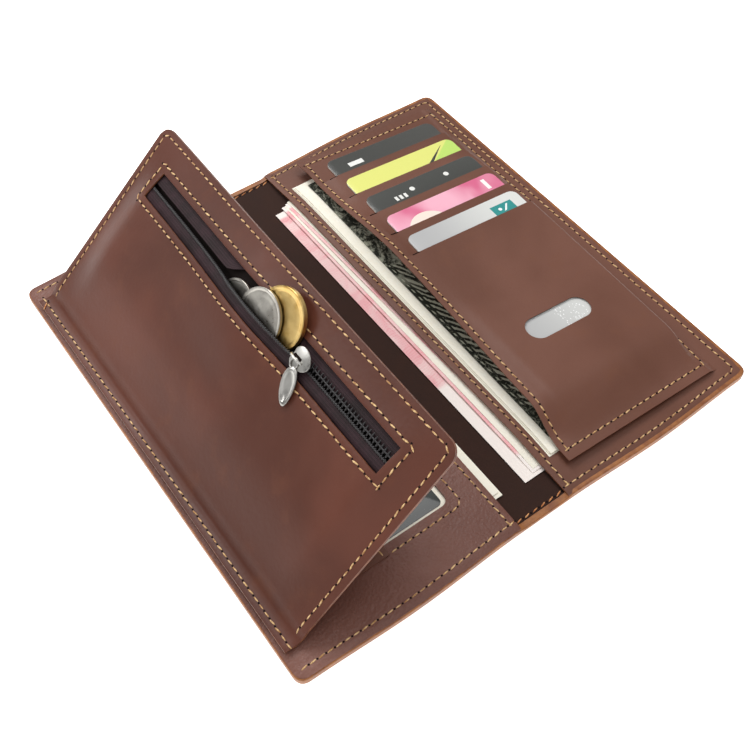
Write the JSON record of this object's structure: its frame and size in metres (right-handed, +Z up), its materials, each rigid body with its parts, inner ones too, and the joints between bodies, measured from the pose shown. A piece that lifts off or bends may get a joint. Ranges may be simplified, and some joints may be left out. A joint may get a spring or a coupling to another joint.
{
  "type": "long wallet",
  "caption": "Opened long leather wallet with a zipped coin flap, stitched card slots, note pockets and removable cards, notes and coins.",
  "frame": {"origin": "on the underside, at the middle of the opened wallet's footprint", "axes": "+X across both covers from the coin flap side to the card side, +Y along the spine towards the end that the card slots face, +Z up out of the opened wallet"},
  "size_m": [0.196, 0.19, 0.0624],
  "materials": {
    "cover_leather": "smooth pebbled, satin",
    "panel_leather": "smooth, satin",
    "suede_lining": "napped",
    "pocket_fabric": "woven",
    "zip_tape": "woven",
    "zip_coil": "satin",
    "zip_metal": "antique silver",
    "clear_sheet": "glossy, clear over dark lining",
    "gold_metal": "struck",
    "silver_metal": "struck nickel alloy",
    "card_plastic": "printed",
    "pink_paper": "printed",
    "green_paper": "printed",
    "cream_paper": "uncoated"
  },
  "bodies": {
    "spine": {"spine_cover": "cover_leather", "spine_lining": "suede_lining"},
    "left_cover": {"left_cover": "cover_leather", "left_lining": "suede_lining", "id_panel": "panel_leather", "id_window_sheet": "clear_sheet", "id_pocket": "panel_leather", "flap_seam_strip": "panel_leather"},
    "right_cover": {"right_cover": "cover_leather", "right_lining": "suede_lining", "divider_panel": "panel_leather", "card_panel_back": "panel_leather", "card_pocket_1": "pocket_fabric", "card_pocket_2": "pocket_fabric", "card_pocket_3": "pocket_fabric", "card_pocket_4": "pocket_fabric", "card_panel_front": "panel_leather"},
    "coin_flap": {"flap_back": "panel_leather", "flap_front": "panel_leather", "coin_pocket_lining": "pocket_fabric", "zip_tape_lower": "zip_tape", "zip_tape_upper": "zip_tape", "zip_coil_lower": "zip_coil", "zip_coil_upper": "zip_coil"},
    "zip_slider": {"zip_slider": "zip_metal"},
    "zip_pull": {"zip_pull": "zip_metal"},
    "gold_coin": {"gold_coin": "gold_metal"},
    "silver_coin_front": {"silver_coin_front": "silver_metal"},
    "silver_coin_back": {"silver_coin_back": "silver_metal"},
    "pink_notes": {"pink_notes": "pink_paper"},
    "green_notes": {"green_notes": "green_paper"},
    "left_note": {"left_note": "cream_paper"},
    "card_1": {"card_1": "card_plastic"},
    "card_2": {"card_2": "card_plastic"},
    "card_3": {"card_3": "card_plastic"},
    "card_4": {"card_4": "card_plastic"},
    "card_5": {"card_5": "card_plastic"}
  },
  "joints": [
    {"name": "left_fold", "type": "hinge", "parent": "spine", "child": "left_cover", "pos_m": [-0.01, 0, 0.0019], "axis": [0, 1, 0], "range_deg": [0, 83]},
    {"name": "right_fold", "type": "hinge", "parent": "spine", "child": "right_cover", "pos_m": [0.01, 0, 0.0019], "axis": [0, -1, 0], "range_deg": [0, 83]},
    {"name": "flap_swing", "type": "hinge", "parent": "left_cover", "child": "coin_flap", "pos_m": [-0.092, 0, 0.0046], "axis": [0, 1, 0], "range_deg": [-92, 42.5]},
    {"name": "zip_slide", "type": "slide", "parent": "coin_flap", "child": "zip_slider", "axis": [0, 1, 0], "range_m": [-0.037, 0]},
    {"name": "pull_swing", "type": "hinge", "parent": "zip_slider", "child": "zip_pull", "pos_m": [-0.04936, -0.025, 0.05221], "axis": [0.3209, -0.9003, 0.294], "range_deg": [-120, 0]},
    {"name": "gold_coin_slide", "type": "slide", "parent": "coin_flap", "child": "gold_coin", "axis": [-0.6088, 0, -0.7934], "range_m": [-0.01, 0]},
    {"name": "silver_coin_front_slide", "type": "slide", "parent": "coin_flap", "child": "silver_coin_front", "axis": [-0.6088, 0, -0.7934], "range_m": [-0.01, 0]},
    {"name": "silver_coin_back_slide", "type": "slide", "parent": "coin_flap", "child": "silver_coin_back", "axis": [-0.6088, 0, -0.7934], "range_m": [-0.01, 0]},
    {"name": "green_notes_slide", "type": "slide", "parent": "right_cover", "child": "green_notes", "axis": [0.9994, 0, -0.0349], "range_m": [-0.05, 0]},
    {"name": "pink_notes_slide", "type": "slide", "parent": "right_cover", "child": "pink_notes", "axis": [0.9997, 0, -0.0262], "range_m": [0, 0.0105]},
    {"name": "left_note_slide", "type": "slide", "parent": "left_cover", "child": "left_note", "axis": [-1, 0, 0], "range_m": [0, 0.0045]},
    {"name": "card_1_slide", "type": "slide", "parent": "right_cover", "child": "card_1", "axis": [-0.0262, -0.9997, 0], "range_m": [-0.06, 0]},
    {"name": "card_2_slide", "type": "slide", "parent": "right_cover", "child": "card_2", "axis": [-0.0262, -0.9997, 0], "range_m": [-0.06, 0]},
    {"name": "card_3_slide", "type": "slide", "parent": "right_cover", "child": "card_3", "axis": [-0.0262, -0.9997, 0], "range_m": [-0.06, 0]},
    {"name": "card_4_slide", "type": "slide", "parent": "right_cover", "child": "card_4", "axis": [-0.0262, -0.9997, 0], "range_m": [-0.06, 0]},
    {"name": "card_5_slide", "type": "slide", "parent": "right_cover", "child": "card_5", "axis": [-0.0262, -0.9997, 0], "range_m": [-0.06, 0]}
  ],
  "couplings": [
    {"joint": "pink_notes_slide", "follows": "right_fold", "m_per_rad": 0.0068},
    {"joint": "left_note_slide", "follows": "left_fold", "m_per_rad": 0.0028}
  ]
}
